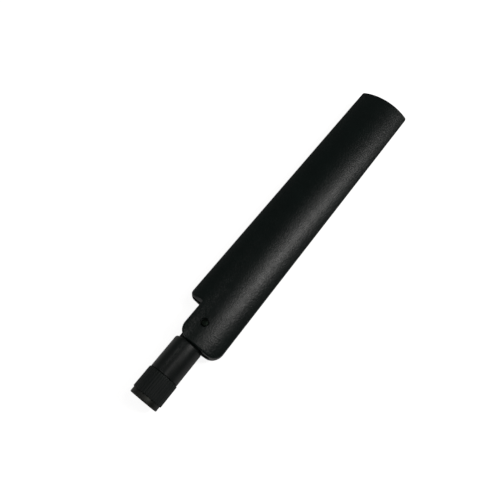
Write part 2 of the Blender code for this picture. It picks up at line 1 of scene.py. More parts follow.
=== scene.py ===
"""Looks of the folding blade antenna: fine surfaces, materials, floor, light and camera, on the CAD frame.

The antenna lies on its back: +Y runs along it to the tip, +Z comes out of the blade's front face, and +X
runs across the blade, away from its notch. Lengths are in metres.
"""
from math import asin, cos, pi, radians, sin, sqrt, tau

import bmesh
import bpy
from mathutils import Matrix, Vector
from mathutils.geometry import intersect_point_line


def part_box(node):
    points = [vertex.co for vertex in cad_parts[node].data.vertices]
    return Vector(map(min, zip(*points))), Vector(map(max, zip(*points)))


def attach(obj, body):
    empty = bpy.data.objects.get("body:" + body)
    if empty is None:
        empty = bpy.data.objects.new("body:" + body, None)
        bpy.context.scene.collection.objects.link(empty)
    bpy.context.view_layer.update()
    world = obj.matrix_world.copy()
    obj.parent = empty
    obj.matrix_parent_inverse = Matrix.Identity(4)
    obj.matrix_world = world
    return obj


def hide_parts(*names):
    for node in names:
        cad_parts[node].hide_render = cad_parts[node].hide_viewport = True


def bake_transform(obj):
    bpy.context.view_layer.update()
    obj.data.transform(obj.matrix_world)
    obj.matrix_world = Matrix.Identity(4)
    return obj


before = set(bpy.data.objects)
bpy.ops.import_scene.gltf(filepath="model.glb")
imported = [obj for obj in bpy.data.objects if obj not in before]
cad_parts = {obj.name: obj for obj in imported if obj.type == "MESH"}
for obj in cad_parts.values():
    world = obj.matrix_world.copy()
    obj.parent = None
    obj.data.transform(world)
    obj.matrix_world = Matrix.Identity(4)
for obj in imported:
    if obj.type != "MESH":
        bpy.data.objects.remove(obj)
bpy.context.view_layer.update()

MM = 0.001


# ---------------------------------------------------------------- places, from the frame


def middle(node):
    low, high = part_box(node)
    return (low + high) / 2


SHELL_LOW, SHELL_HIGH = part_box("front_shell")
GRIP_LOW, GRIP_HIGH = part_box("nut_grip")
NUT_LOW, NUT_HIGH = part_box("coupling_nut")
BARREL_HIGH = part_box("hinge_base")[1]
PIN_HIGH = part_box("pivot_pin_front")[1]

AXIS_Z = middle("nut_grip").z  # height of the antenna's long axis, and of the blade's middle plane
FOOT = SHELL_LOW.y
TIP = SHELL_HIGH.y
HALF_WIDTH = SHELL_HIGH.x
FOOT_HALF_DEPTH = SHELL_HIGH.z - AXIS_Z
PIVOT = middle("pivot_pin_front").y
GRIP_RADIUS = GRIP_HIGH.x
NUT_RADIUS = NUT_HIGH.x
BARREL_RADIUS = BARREL_HIGH.x
BARREL_TOP = FOOT - 0.4 * MM
SIDES = {"front": 1, "rear": -1}  # of the blade's middle plane


# ---------------------------------------------------------------- objects and pieces


SHARP_ANGLE = radians(32)


def new_object(name, bm, material):
    """An object made of a bmesh, which is freed."""
    mesh = bpy.data.meshes.new(name)
    bm.to_mesh(mesh)
    bm.free()
    mesh.materials.append(material)
    obj = bpy.data.objects.new(name, mesh)
    bpy.context.scene.collection.objects.link(obj)
    return obj


def shade(obj, sharp_angle=SHARP_ANGLE):
    """Shades an object smooth, but for the edges that turn by more than an angle."""
    obj.data.shade_smooth()
    obj.data.set_sharp_from_angle(angle=sharp_angle)


def place(obj, body, replaces=()):
    """Makes a piece ride on a body and stand for the CAD nodes it replaces."""
    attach(obj, body)
    if replaces:
        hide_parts(*replaces)


def add_piece(name, bm, body, material, replaces=(), sharp_angle=SHARP_ANGLE):
    """A finished piece, made of a bmesh and placed."""
    obj = new_object(name, bm, material)
    shade(obj, sharp_angle)
    place(obj, body, replaces)


# ---------------------------------------------------------------- mesh building blocks


def arc_angles(steps):
    """Angles from 0 to a quarter turn."""
    return [i * pi / 2 / steps for i in range(steps + 1)]


def ring(bm, y, radii, centre=(0, AXIS_Z)):
    """A ring of new vertices about a line along Y, at evenly spaced angles, one for each radius."""
    vertices = []
    for i, radius in enumerate(radii):
        angle = tau * i / len(radii)
        vertices.append(bm.verts.new((centre[0] + radius * cos(angle), y, centre[1] + radius * sin(angle))))
    return vertices


def join_rings(bm, rings):
    """Faces between each ring of vertices and the next: quads, or triangles where a ring is one point."""
    for lower, upper in zip(rings, rings[1:]):
        count = len(lower)
        for i in range(count):
            j = (i + 1) % count
            corners = tuple(dict.fromkeys((lower[i], lower[j], upper[j], upper[i])))
            if len(corners) > 2:
                bm.faces.new(corners)


def soften(profile, radius):
    """Rounds each inner corner of an open profile of (radius, y) points."""
    steps = 3
    longest_cut = 0.45  # of either side of a corner
    points = [Vector(p) for p in profile]
    softened = [points[0]]
    for before, here, after in zip(points, points[1:], points[2:]):
        back = before - here
        on = after - here
        cut = min(radius, back.length * longest_cut, on.length * longest_cut)
        start = here + back.normalized() * cut
        end = here + on.normalized() * cut
        for i in range(steps + 1):
            share = i / steps
            softened.append(start.lerp(here, share).lerp(here.lerp(end, share), share))
    return softened + [points[-1]]


def lathe(profile, steps, centre=(0, AXIS_Z)):
    """A bmesh turned about the antenna's long axis from (radius, y) points; a radius of 0 is one point."""
    no_radius = 1e-7
    bm = bmesh.new()
    rings = []
    for radius, y in profile:
        if radius < no_radius:
            rings.append([bm.verts.new((centre[0], y, centre[1]))] * steps)
        else:
            rings.append(ring(bm, y, [radius] * steps, centre))
    join_rings(bm, rings)
    bmesh.ops.recalc_face_normals(bm, faces=bm.faces)
    return bm


def lathe_on_pivot(profile, steps, side):
    """A bmesh turned about the pivot's axis from (radius, distance out of the middle plane) points."""
    bm = lathe(profile, steps, centre=(0, 0))
    way_out = Matrix.Rotation(side * pi / 2, 3, "X")  # the lathe turns about Y, and the pivot's axis is Z
    bmesh.ops.rotate(bm, verts=bm.verts, cent=(0, 0, 0), matrix=way_out)
    bmesh.ops.translate(bm, verts=bm.verts, vec=(0, PIVOT, AXIS_Z))
    return bm


def cylinder_mesh(radius, start, end):
    """A closed cylinder between two points."""
    start = Vector(start)
    end = Vector(end)
    along = end - start
    turn = along.to_track_quat("Z", "Y").to_matrix().to_4x4()
    bm = bmesh.new()
    bmesh.ops.create_cone(
        bm,
        cap_ends=True,
        segments=48,
        radius1=radius,
        radius2=radius,
        depth=along.length,
        matrix=Matrix.Translation((start + end) / 2) @ turn,
    )
    return bm


def box_mesh(low, high):
    """A box between its lowest and highest corners."""
    low = Vector(low)
    high = Vector(high)
    size = Matrix.Diagonal((*(high - low), 1))
    bm = bmesh.new()
    bmesh.ops.create_cube(bm, size=1, matrix=Matrix.Translation((low + high) / 2) @ size)
    return bm


def carve(obj, bm, operation="DIFFERENCE"):
    """Applies one Boolean to a mesh that has no parent yet, and removes the cutter."""
    mesh = bpy.data.meshes.new("cutter")
    bm.to_mesh(mesh)
    bm.free()
    cutter = bpy.data.objects.new("cutter", mesh)
    bpy.context.scene.collection.objects.link(cutter)
    modifier = obj.modifiers.new("carve", "BOOLEAN")
    modifier.operation = operation
    modifier.solver = "EXACT"
    modifier.object = cutter
    graph = bpy.context.evaluated_depsgraph_get()
    carved = bpy.data.meshes.new_from_object(obj.evaluated_get(graph))
    obj.modifiers.clear()
    old = obj.data
    obj.data = carved
    bpy.data.meshes.remove(old)
    bpy.data.objects.remove(cutter)


# ---------------------------------------------------------------- material building blocks


class Nodes:
    """A material's node tree with short ways to add and join nodes."""

    def __init__(self, name):
        self.material = bpy.data.materials.new(name)
        self.material.use_nodes = True
        self.tree = self.material.node_tree
        self.shader = self.tree.nodes["Principled BSDF"]
        self.position = self.add("ShaderNodeTexCoord").outputs["Object"]

    def add(self, kind):
        return self.tree.nodes.new(kind)

    def join(self, source, target):
        self.tree.links.new(source, target)

    def noise(self, scale, detail=3.0, stretch=(1, 1, 1)):
        """Noise with a feature size of about 1 / scale metres, squeezed along an axis by its stretch."""
        mapping = self.add("ShaderNodeMapping")
        mapping.inputs["Scale"].default_value = stretch
        self.join(self.position, mapping.inputs["Vector"])
        texture = self.add("ShaderNodeTexNoise")
        texture.inputs["Scale"].default_value = scale
        texture.inputs["Detail"].default_value = detail
        texture.inputs["Roughness"].default_value = 0.55
        self.join(mapping.outputs["Vector"], texture.inputs["Vector"])
        return texture.outputs["Fac"]

    def spread(self, factor, low, high, start=0.3, end=0.7):
        """The factor, from start to end, spread over low to high."""
        node = self.add("ShaderNodeMapRange")
        node.inputs["From Min"].default_value = start
        node.inputs["From Max"].default_value = end
        node.inputs["To Min"].default_value = low
        node.inputs["To Max"].default_value = high
        self.join(factor, node.inputs["Value"])
        return node.outputs["Result"]

    def blend(self, factor, first, second):
        """The first colour where the factor is 0, and the second where it is 1."""
        node = self.add("ShaderNodeMix")
        node.data_type = "RGBA"
        # sockets 6 and 7 in and 2 out are the node's colours
        node.inputs[6].default_value = (*first, 1)
        node.inputs[7].default_value = (*second, 1)
        self.join(factor, node.inputs[0])
        return node.outputs[2]

    def bump(self, height, distance, strength=1.0, normal=None):
        """A normal bumped by a height, on top of another bumped normal if there is one."""
        node = self.add("ShaderNodeBump")
        node.inputs["Distance"].default_value = distance
        node.inputs["Strength"].default_value = strength
        self.join(height, node.inputs["Height"])
        if normal:
            self.join(normal, node.inputs["Normal"])
        return node.outputs["Normal"]

    def set(self, **values):
        """Sets or joins the shader's sockets, named in lower case with underscores."""
        for name, value in values.items():
            socket = self.shader.inputs[name.replace("_", " ").title().replace("Ior", "IOR")]
            if isinstance(value, bpy.types.NodeSocket):
                self.join(value, socket)
            else:
                socket.default_value = (*value, 1) if isinstance(value, tuple) else value


# ---------------------------------------------------------------- materials


def moulded_plastic(name, colour, roughness, grain, grain_depth, specular=0.5):
    """Black moulded plastic with a spark-eroded grain of two sizes, faint flow clouds and uneven gloss."""
    cloud_scale, gloss_scale = 90, 260
    pale, gloss_change = 1.35, 0.03
    coarse_size, coarse_depth = 3.3, 3  # of the coarse grain, in times those of the fine one
    nodes = Nodes(name)
    clouds = nodes.noise(cloud_scale, detail=4)
    pale_colour = tuple(c * pale for c in colour)
    nodes.set(base_color=nodes.blend(nodes.spread(clouds, 0, 1), colour, pale_colour))
    gloss = nodes.noise(gloss_scale, detail=5)
    nodes.set(roughness=nodes.spread(gloss, roughness - gloss_change, roughness + gloss_change))
    nodes.set(specular_ior_level=specular)
    fine = nodes.bump(nodes.noise(grain, detail=2), grain_depth, strength=0.6)
    coarse = nodes.noise(grain / coarse_size, detail=2)
    nodes.set(normal=nodes.bump(coarse, grain_depth * coarse_depth, normal=fine))
    return nodes.material


def turned_metal(name, colour, roughness, tint=None):
    """Plated metal with fine turning marks round the antenna's axis and a slightly uneven plating."""
    plating_scale, mark_scale = 350, 500
    mark_stretch = (0.6, 14, 0.6)  # so that the marks are narrow along Y and long round it
    mark_depth = 0.01 * MM
    nodes = Nodes(name)
    dull = nodes.spread(nodes.noise(plating_scale, detail=4), 0, 1)
    nodes.set(base_color=nodes.blend(dull, colour, tint or tuple(c * 0.8 for c in colour)))
    nodes.set(metallic=1.0)
    marks = nodes.noise(mark_scale, detail=2, stretch=mark_stretch)
    nodes.set(roughness=nodes.spread(marks, roughness - 0.05, roughness + 0.07))
    nodes.set(normal=nodes.bump(marks, mark_depth, strength=0.5))
    return nodes.material


def plain_grain(name, colour, roughness, scale, depth, variation=0.75, metallic=0.0):
    """Soft or sintered stuff whose colour and surface vary with one grain."""
    gloss_change = 0.06
    nodes = Nodes(name)
    grain = nodes.noise(scale, detail=4)
    dark = tuple(c * variation for c in colour)
    nodes.set(base_color=nodes.blend(nodes.spread(grain, 0, 1), colour, dark))
    nodes.set(roughness=nodes.spread(grain, roughness - gloss_change, roughness + gloss_change))
    nodes.set(metallic=metallic)
    nodes.set(normal=nodes.bump(grain, depth, strength=0.5))
    return nodes.material


def solder_mask(name):
    """Green lacquer over a woven glass laminate, whose weave shows through."""
    thin, thick = (0.02, 0.14, 0.06), (0.03, 0.19, 0.08)
    weave_depth = 0.01 * MM
    nodes = Nodes(name)
    weave = nodes.add("ShaderNodeTexWave")
    weave.wave_type = "BANDS"
    weave.inputs["Scale"].default_value = 900
    weave.inputs["Distortion"].default_value = 1.5
    nodes.join(nodes.position, weave.inputs["Vector"])
    nodes.set(base_color=nodes.blend(weave.outputs["Fac"], thin, thick))
    nodes.set(roughness=nodes.spread(nodes.noise(300), 0.25, 0.4))
    nodes.set(normal=nodes.bump(weave.outputs["Fac"], weave_depth, strength=0.4))
    return nodes.material


# name, colour, roughness, scale of the grain and its depth
BLADE = moulded_plastic("blade_plastic", (0.0022, 0.0074, 0.0062), 0.34, 4200, 0.00003)
BARREL = moulded_plastic("base_plastic", (0.0072, 0.0106, 0.0098), 0.38, 6500, 0.00001)
GRIP = moulded_plastic("grip_plastic", (0.0058, 0.0104, 0.0092), 0.56, 6500, 0.000015, specular=0.42)

# name, colour and roughness, and for one the colour of its duller patches
BLACK_NICKEL = turned_metal("black_nickel", (0.078, 0.080, 0.078), 0.48, (0.044, 0.047, 0.040))
NICKEL = turned_metal("nickel", (0.60, 0.58, 0.54), 0.27)
GOLD = turned_metal("gold", (0.86, 0.62, 0.27), 0.22)
COPPER = turned_metal("copper", (0.72, 0.38, 0.22), 0.32)
BLACK_STEEL = turned_metal("black_steel", (0.018, 0.026, 0.020), 0.42)
SPRING_STEEL = turned_metal("spring_steel", (0.45, 0.45, 0.46), 0.30)

# name, colour, roughness, scale of the grain and its depth
SOLDER = plain_grain("solder", (0.55, 0.55, 0.56), 0.32, 1500, 0.00002, metallic=1.0)
PTFE = plain_grain("ptfe", (0.82, 0.82, 0.79), 0.45, 2500, 0.000008, variation=0.93)
SILICONE = plain_grain("silicone", (0.50, 0.09, 0.055), 0.5, 1800, 0.00001)
RUBBER = plain_grain("rubber", (0.016, 0.016, 0.016), 0.6, 2200, 0.00001)
HEAT_SHRINK = plain_grain("heat_shrink", (0.014, 0.014, 0.014), 0.5, 700, 0.00002)
JACKET = plain_grain("cable_jacket", (0.012, 0.012, 0.012), 0.38, 900, 0.00001)
FOAM = plain_grain("foam", (0.06, 0.06, 0.06), 0.9, 4500, 0.0001, variation=0.4)
FERRITE = plain_grain("ferrite", (0.05, 0.05, 0.055), 0.6, 5000, 0.00002)

BOARD = solder_mask("board")


# ---------------------------------------------------------------- blade

TIP_HALF_DEPTH = 4.95 * MM
TIP_EDGE_HALF_DEPTH = 1.0 * MM
ARC_RISE = TIP_HALF_DEPTH - TIP_EDGE_HALF_DEPTH
ARC_RADIUS = (HALF_WIDTH**2 + ARC_RISE**2) / (2 * ARC_RISE)
ARC_CENTRE = ARC_RADIUS - TIP_HALF_DEPTH
TONGUE_LEFT = -7.0 * MM
NOTCH_TOP = FOOT + 17.2 * MM
EDGE_ROUND = 0.3 * MM  # radius of the moulded edge along the face's sides and tip
END_ROUND = 0.8 * MM  # of the edge at its foot and in its notch
SEAM_GAP = 0.07 * MM  # from the middle plane to each half
WALL = 1.5 * MM
RIB = 1.4 * MM
BULKHEAD = FOOT + 20.0 * MM  # foot side of the wall between the hinge's pocket and the long chamber
STOP_RIB = 5.5 * MM  # left side of the rib between the hinge's pocket and the side pocket
HOLLOW_EDGE = 12.3 * MM  # just short of where the hollow's two faces meet
PIN_HOLE = 1.25 * MM
FAR = 10 * MM  # enough for a cutter to come out of the surface it opens


def arc(x, y, radius, start, end, steps=14):
    """Points of a round corner about (x, y), between two angles in quarter turns."""
    angles = [(start + (end - start) * i / steps) * pi / 2 for i in range(steps + 1)]
    return [(x + radius * cos(a), y + radius * sin(a)) for a in angles]


def blade_outline():
    """The blade seen from the front, in X and Y, counter-clockwise from the tongue's foot."""
    tongue, right, top, notch, inner = 5.6 * MM, 5.2 * MM, 0.9 * MM, 2.5 * MM, 0.5 * MM
    inside = arc(TONGUE_LEFT - inner, NOTCH_TOP - inner, inner, 0, 1, 6)
    return [
        *arc(TONGUE_LEFT + tongue, FOOT + tongue, tongue, 2, 3),
        *arc(HALF_WIDTH - right, FOOT + right, right, 3, 4),
        *arc(HALF_WIDTH - top, TIP - top, top, 0, 1),
        *arc(-HALF_WIDTH + top, TIP - top, top, 1, 2),
        *arc(-HALF_WIDTH + notch, NOTCH_TOP + notch, notch, 2, 3),
        *reversed(inside),
    ]


def depth_scale(y):
    """The blade's depth, in times its depth at the tip."""
    return 1 + (FOOT_HALF_DEPTH / TIP_HALF_DEPTH - 1) * (TIP - y) / (TIP - FOOT)


def half_depth(x, y, inset=0.0):
    """Depth of the blade's face in front of its middle plane, or of a surface that much further in."""
    return (sqrt(max((ARC_RADIUS - inset) ** 2 - x**2, 0)) - ARC_CENTRE) * depth_scale(y)


def edge_drop(outline, x, y):
    """How far the rounded edge has sunk below the blade's face at a point."""
    point = Vector((x, y))
    drop = 0
    for start, end in zip(outline, outline[1:] + outline[:1]):
        start, end = Vector(start), Vector(end)
        share = intersect_point_line(point, start, end)[1]
        distance = (point - start.lerp(end, min(max(share, 0), 1))).length
        facing_foot = max((end - start).normalized().x, 0)
        radius = EDGE_ROUND + (END_ROUND - EDGE_ROUND) * facing_foot
        drop = max(drop, radius - sqrt(radius**2 - max(radius - distance, 0) ** 2))
    return drop


def steps_between(low, high, step):
    """Evenly spaced places between two others, about a step apart."""
    count = max(round((high - low) / step), 1)
    return [low + (high - low) * i / count for i in range(1, count)]


def cut_across(bm, axis, places):
    """Cuts a flat bmesh across by planes at right angles to an axis."""
    snap = 0.002 * MM  # a vertex this close to a plane is taken to be on it
    normal = Vector((0, 0, 0))
    normal[axis] = 1
    for distance in places:
        geometry = bm.verts[:] + bm.edges[:] + bm.faces[:]
        bmesh.ops.bisect_plane(bm, geom=geometry, dist=snap, plane_co=normal * distance, plane_no=normal)


def flat_blade(outline):
    """The outline filled as a flat mesh, with rings along its edge and cuts across and along it."""
    side_margin, end_margin = 0.5 * MM, 0.7 * MM
    column, row = 0.62 * MM, 6 * MM
    round_rings = [EDGE_ROUND * (1 - cos(a)) for a in arc_angles(5)]
    wide_rings = [0.48 * MM, 0.66 * MM, 0.84 * MM]  # for the wider rounding of the foot and the notch
    rings = round_rings + wide_rings
    bm = bmesh.new()
    inner = [bm.faces.new([bm.verts.new((x, y, 0)) for x, y in outline])]
    for before, after in zip(rings, rings[1:]):
        width = after - before
        bmesh.ops.inset_region(bm, faces=inner, thickness=width, use_even_offset=True, use_boundary=True)
    cut_across(bm, 0, steps_between(-HALF_WIDTH + side_margin, HALF_WIDTH - side_margin, column))
    cut_across(bm, 1, steps_between(FOOT + end_margin, TIP - end_margin, row))
    return bm


def half_blade(side):
    """Half of the blade as a closed solid: face, rounded edge, side wall and flat seam."""
    outline = blade_outline()
    bm = flat_blade(outline)
    for vertex in bm.verts:
        x, y, _ = vertex.co
        vertex.co.z = AXIS_Z + side * (half_depth(x, y) - edge_drop(outline, x, y))
    boundary = [edge for edge in bm.edges if edge.is_boundary]
    wall = bmesh.ops.extrude_edge_only(bm, edges=boundary)["geom"]
    for vertex in (v for v in wall if isinstance(v, bmesh.types.BMVert)):
        vertex.co.z = AXIS_Z + side * SEAM_GAP
    bmesh.ops.holes_fill(bm, edges=[edge for edge in bm.edges if edge.is_boundary], sides=0)
    bmesh.ops.recalc_face_normals(bm, faces=bm.faces)
    return bm


def lens_prism(inset, left, right, bottom, top):
    """A closed length of the blade's hollow, between two places across it and two along it."""
    steps = 40
    radius = ARC_RADIUS - inset
    first, last = asin(left / radius), asin(right / radius)
    xs = [radius * sin(first + (last - first) * i / steps) for i in range(steps + 1)]
    bm = bmesh.new()
    rings = []
    for y in (bottom, top):
        front = [(x, y, AXIS_Z + half_depth(x, y, inset)) for x in xs]
        rear = [(x, y, AXIS_Z - half_depth(x, y, inset)) for x in reversed(xs)]
        rings.append([bm.verts.new(co) for co in front + rear])
    join_rings(bm, rings)
    for end in rings:
        bm.faces.new(end)
    bmesh.ops.recalc_face_normals(bm, faces=bm.faces)
    return bm


def carve_hinge_pocket(shell):
    """The pocket round the knuckle, with its slits at the notch and at the foot."""
    step = 0.8 * MM  # in the pocket's wall, at the notch
    slit, slot = 1.5 * MM, 2.3 * MM  # half of their depths
    slot_right, slot_top = 10.4 * MM, FOOT + 1.6 * MM
    hair = 0.1 * MM  # keeps cutters that overlap from sharing a face
    pocket_top = NOTCH_TOP - step
    upper_left, upper_bottom = TONGUE_LEFT + WALL, NOTCH_TOP - 2 * step
    carve(shell, lens_prism(WALL, -HOLLOW_EDGE, STOP_RIB, FOOT - FAR, pocket_top))
    carve(shell, lens_prism(WALL + hair, upper_left, STOP_RIB, upper_bottom, BULKHEAD))
    carve(shell, box_mesh((-HOLLOW_EDGE, PIVOT, AXIS_Z - slit), (0, BULKHEAD - hair, AXIS_Z + slit)))
    carve(shell, box_mesh((0, FOOT - FAR, AXIS_Z - slot), (slot_right, slot_top, AXIS_Z + slot)))
    carve(shell, lens_prism(WALL, STOP_RIB + RIB, HOLLOW_EDGE, slot_top + RIB, BULKHEAD))


def add_hinge_boss(shell, side):
    """The boss inside the blade that carries the pin."""
    radius, face = 3.0 * MM, 3.7 * MM
    wall = half_depth(0, PIVOT, WALL) + 0.6 * MM
    start, end = (0, PIVOT, AXIS_Z + side * face), (0, PIVOT, AXIS_Z + side * wall)
    carve(shell, cylinder_mesh(radius, start, end), "UNION")


def pin_recess(side):
    """The round recess over a pin's head, with a narrow chamfer at the blade's face."""
    floor = 5.3 * MM
    face = half_depth(0, PIVOT)
    radius, mouth = 1.9 * MM, 2.2 * MM
    profile = [
        (0, floor),
        (radius, floor),
        (radius, face - 0.22 * MM),
        (mouth, face + 0.1 * MM),
        (0, face + 2 * MM),
    ]
    return lathe_on_pivot(profile, 64, side)


def make_blade():
    """The two halves, each hollowed out, with a boss, a hole and a recess for its pin."""
    cable_hole = 1.2 * MM
    for label, side in SIDES.items():
        shell = new_object(f"blade_{label}", half_blade(side), BLADE)
        carve(shell, lens_prism(WALL, -HOLLOW_EDGE, HOLLOW_EDGE, BULKHEAD + RIB, TIP - WALL))
        carve_hinge_pocket(shell)
        hole_start, hole_end = (0, BULKHEAD - RIB, AXIS_Z), (0, BULKHEAD + 2 * RIB, AXIS_Z)
        carve(shell, cylinder_mesh(cable_hole, hole_start, hole_end))
        add_hinge_boss(shell, side)
        carve(shell, cylinder_mesh(PIN_HOLE, (0, PIVOT, AXIS_Z), (0, PIVOT, AXIS_Z + side * FAR)))
        carve(shell, pin_recess(side))
        shade(shell)
        place(shell, "blade", [f"{label}_shell"])


def make_pins():
    """Domed pin heads at the bottom of their recesses, each on its shaft."""
    head_top = PIN_HIGH.z - AXIS_Z
    head_bottom = head_top - 0.6 * MM
    dome_radius, dome_rise = 1.5 * MM, 0.28 * MM
    head, shaft = 1.6 * MM, 1.15 * MM
    dome = [(dome_radius * sin(a), head_top - dome_rise * (1 - cos(a))) for a in arc_angles(8)]
    stem = [(head, head_bottom), (shaft, head_bottom), (shaft, 1.45 * MM), (0, 1.3 * MM)]
    profile = soften(dome + stem, 0.08 * MM)
    for label, side in SIDES.items():
        bm = lathe_on_pivot(profile, 48, side)
        add_piece(f"pin_{label}", bm, "blade", BLACK_STEEL, [f"pivot_pin_{label}"])


# ---------------------------------------------------------------- base


def make_barrel():
    """The round barrel, with a rounded shoulder under the blade and a bore for the connector."""
    foot = GRIP_HIGH.y + 0.18 * MM
    cable_hole, shoulder, bore = 1.2 * MM, 0.9 * MM, 4.3 * MM
    top = [(cable_hole, BARREL_TOP)]
    for angle in arc_angles(8):
        across = BARREL_RADIUS - shoulder + shoulder * sin(angle)
        top.append((across, BARREL_TOP - shoulder + shoulder * cos(angle)))
    skirt = [
        (BARREL_RADIUS, BARREL_TOP - 3 * MM),
        (BARREL_RADIUS, foot),
        (bore, foot),
        (bore, foot + 4.5 * MM),
    ]
    barrel = lathe(top + soften(skirt, 0.22 * MM), 128)
    add_piece("barrel", barrel, "base", BARREL, ["hinge_base"])


def knuckle_block(root, radius, depth):
    """The knuckle before it is cut: a half-round block from its root in the barrel to above the pivot."""
    top = [(radius * cos(a), PIVOT + radius * sin(a)) for a in (i * pi / 40 for i in range(41))]
    outline = [(-radius, root), (radius, root)] + top
    bm = bmesh.new()
    face = bm.faces.new([bm.verts.new((x, y, AXIS_Z - depth / 2)) for x, y in outline])
    block = bmesh.ops.extrude_face_region(bm, geom=[face])["geom"]
    lifted = [v for v in block if isinstance(v, bmesh.types.BMVert)]
    bmesh.ops.translate(bm, verts=lifted, vec=(0, 0, depth))
    bmesh.ops.recalc_face_normals(bm, faces=bm.faces)
    return bm


def make_knuckle():
    """The knuckle in the blade's pocket, slotted on the left for the cable and bored for it and the pins."""
    root = BARREL_TOP - 1 * MM
    slot, slot_right, slot_bottom = 1.15 * MM, 1.2 * MM, BARREL_TOP + 1.6 * MM
    cable_hole = 1.1 * MM
    knuckle = new_object("knuckle", knuckle_block(root, radius=5.2 * MM, depth=6.4 * MM), BARREL)
    carve(knuckle, box_mesh((-FAR, slot_bottom, AXIS_Z - slot), (slot_right, PIVOT + FAR, AXIS_Z + slot)))
    carve(knuckle, cylinder_mesh(cable_hole, (0, root - 1 * MM, AXIS_Z), (0, BARREL_TOP + 2 * MM, AXIS_Z)))
    carve(knuckle, cylinder_mesh(PIN_HOLE, (0, PIVOT, AXIS_Z - FAR), (0, PIVOT, AXIS_Z + FAR)))
    bevel = knuckle.modifiers.new("edges", "BEVEL")
    bevel.width = 0.15 * MM
    bevel.segments = 2
    bevel.limit_method = "ANGLE"
    shade(knuckle)
    place(knuckle, "base")


CABLE_RADIUS = 0.9 * MM


def cable_path():
    """(y, height) of points along the cable's middle: straight, through the pivot, up, and on to the feed."""
    stripped = 4.7 * MM  # bare end of the lower length, out of sight in the connector
    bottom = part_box("coax_lower")[0].y + stripped
    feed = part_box("coax_upper")[1]
    rise = feed.z - CABLE_RADIUS - AXIS_Z
    rise_start, rise_end = PIVOT + 16.0 * MM, PIVOT + 23.2 * MM
    bend_start = PIVOT - 9 * MM
    ys = [bottom + (bend_start - bottom) * i / 6 for i in range(6)]
    ys += [PIVOT + (i - 18) * 0.5 * MM for i in range(37)]  # every half millimetre past the pivot
    ys += [rise_start + (rise_end - rise_start) * i / 10 for i in range(11)]
    ys += [rise_end + (feed.y - rise_end) * i / 12 for i in range(1, 13)]
    path = []
    for y in ys:
        share = min(max((y - rise_start) / (rise_end - rise_start), 0), 1)
        path.append((y, AXIS_Z + rise * (3 * share**2 - 2 * share**3)))
    return path


def make_coax():
    """The whole cable as one tube, from the connector past the pivot and up to the feed on the board."""
    bm = bmesh.new()
    rings = [ring(bm, y, [CABLE_RADIUS] * 20, centre=(0, height)) for y, height in cable_path()]
    join_rings(bm, rings)
    for end in (rings[0], rings[-1]):
        bm.faces.new(end)
    bmesh.ops.recalc_face_normals(bm, faces=bm.faces)
    cable = new_object("coax", bm, JACKET)
    shade(cable)
    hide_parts("coax_lower", "coax_upper")
    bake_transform(cable)


# ---------------------------------------------------------------- coupling nut and connector


def make_grip():
    """The knurled sleeve: ribs with broad crests, and a rounded chamfer at each end."""
    ribs, samples = 36, 12
    depth, chamfer, row = 0.13 * MM, 0.3 * MM, 1.2 * MM
    broadness = 1.5  # how much of the wave between two grooves is cut off for the crest
    bottom, top = GRIP_LOW.y, GRIP_HIGH.y
    inner = NUT_RADIUS - 0.4 * MM
    count = ribs * samples
    crests = [0.5 + 0.5 * cos(ribs * (tau * i / count)) for i in range(count)]
    grooves = [depth * (1 - min(crest * broadness, 1)) for crest in crests]
    ends = [(1 - cos(a), 1 - sin(a)) for a in arc_angles(5)]
    rise = [(bottom + chamfer * along, chamfer * drop) for along, drop in ends]
    fall = [(top - chamfer * along, chamfer * drop) for along, drop in reversed(ends)]
    length = [(y, 0) for y in steps_between(bottom + chamfer, top - chamfer, row)]
    bm = bmesh.new()
    rings = [ring(bm, bottom, [inner] * count)]
    for y, drop in rise + length + fall:
        rings.append(ring(bm, y, [GRIP_RADIUS - max(groove, drop) for groove in grooves]))
    rings.append(ring(bm, top, [inner] * count))
    join_rings(bm, rings)
    bmesh.ops.recalc_face_normals(bm, faces=bm.faces)
    add_piece("grip", bm, "nut", GRIP, ["nut_grip"], sharp_angle=radians(50))


NUT_FOOT = NUT_LOW.y
NUT_BORE = 5.45 * MM


def make_nut():
    """The metal nut, with a lip below the grip and a shelf inside that turns behind the plug's flange."""
    body, lip_top = NUT_RADIUS - 0.5 * MM, NUT_FOOT + 2.3 * MM
    shelf_low, shelf_high = NUT_FOOT + 9.75 * MM, NUT_FOOT + 11.55 * MM
    shelf, counterbore = 4.2 * MM, 5.1 * MM
    chamfer = 0.3 * MM
    profile = [
        (counterbore, shelf_high),
        (counterbore, NUT_HIGH.y),
        (body, NUT_HIGH.y),
        (body, lip_top),
        (NUT_RADIUS, lip_top),
        (NUT_RADIUS, NUT_FOOT + chamfer),
        (NUT_RADIUS - chamfer, NUT_FOOT),
        (NUT_BORE + chamfer, NUT_FOOT),
        (NUT_BORE, NUT_FOOT + chamfer),
        (NUT_BORE, shelf_low),
        (shelf, shelf_low),
        (shelf, shelf_high),
        (counterbore, shelf_high),
    ]
    nut = lathe(soften(profile, 0.1 * MM), 128)
    add_piece("nut", nut, "nut", BLACK_NICKEL, ["coupling_nut"])


